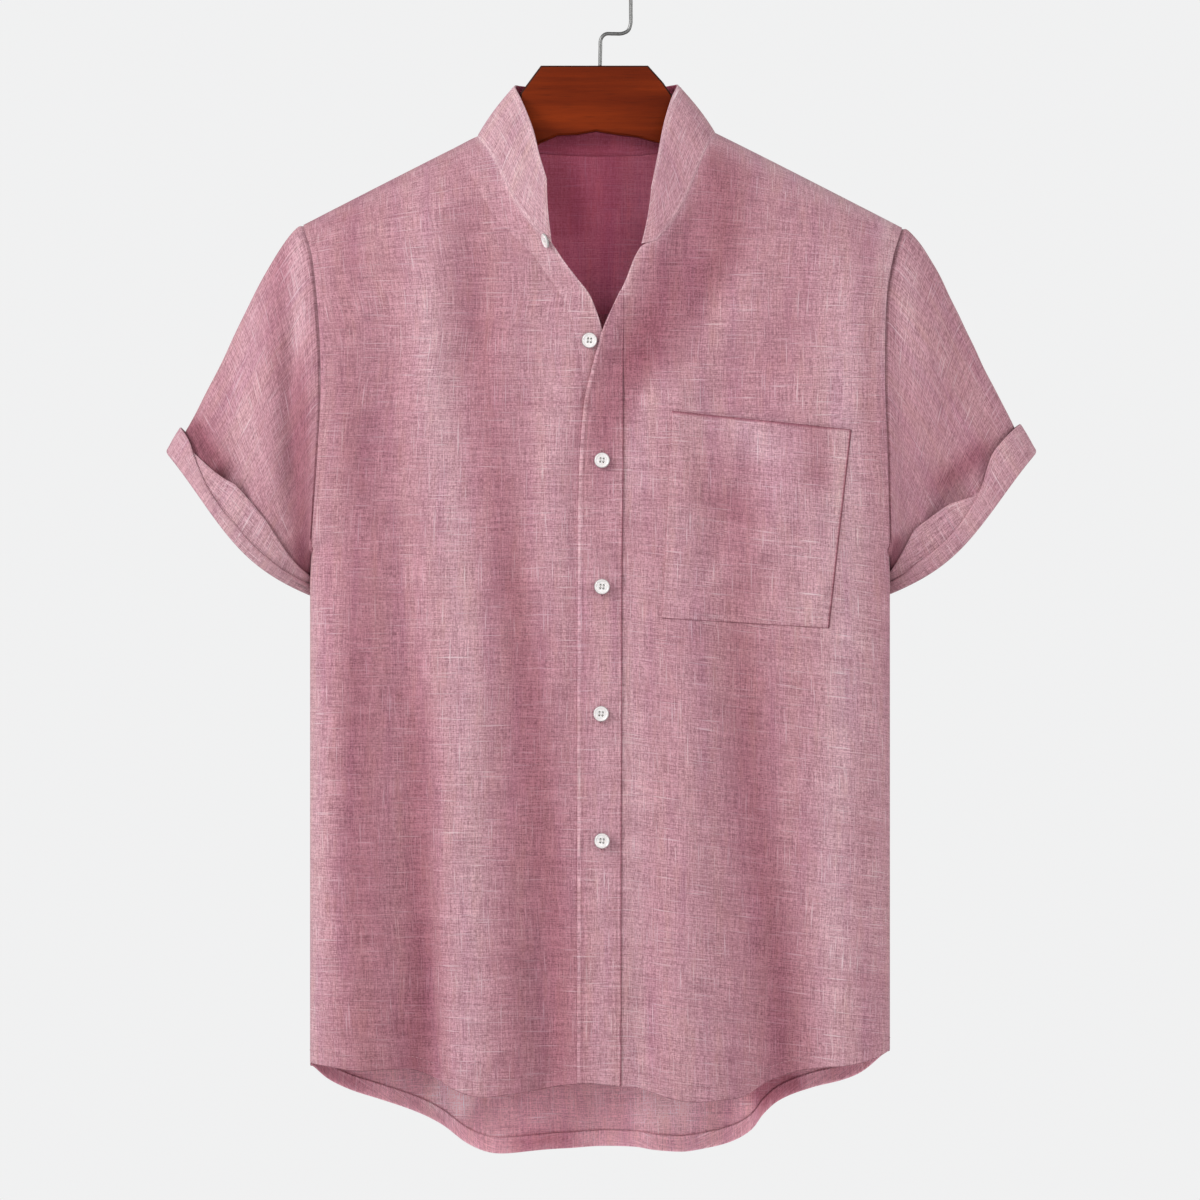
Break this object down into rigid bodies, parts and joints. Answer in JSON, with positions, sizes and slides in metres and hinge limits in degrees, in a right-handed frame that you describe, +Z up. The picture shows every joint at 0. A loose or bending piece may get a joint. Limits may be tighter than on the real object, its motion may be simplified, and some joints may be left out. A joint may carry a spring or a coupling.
{
  "type": "mandarin collar shirt on hanger",
  "caption": "Linen mandarin collar shirt with short turned-up sleeves, patch pocket and open neck, hung on a wooden hanger with a wire hook.",
  "frame": {"origin": "inside top of the hook, where the hanger hangs from its rail", "axes": "+Z up, -Y towards the front of the shirt, +X towards the wearer's left sleeve"},
  "size_m": [0.6506, 0.1219, 0.8939],
  "materials": {
    "linen": "matt slubby linen, dusty rose",
    "button": "glossy off-white",
    "wood": "dark reddish-brown varnish",
    "wire": "bright steel wire"
  },
  "bodies": {
    "root": {"front_right": "linen", "front_left": "linen", "placket": "linen", "pocket": "linen", "back": "linen", "back_yoke": "linen", "collar": "linen", "sleeve_right": "linen", "sleeve_left": "linen", "cuff_right": "linen", "cuff_left": "linen", "button_1": "button", "button_2": "button", "button_3": "button", "button_4": "button", "button_5": "button", "button_6": "button", "hanger_board": "wood", "hanger_hook": "wire"}
  },
  "joints": []
}
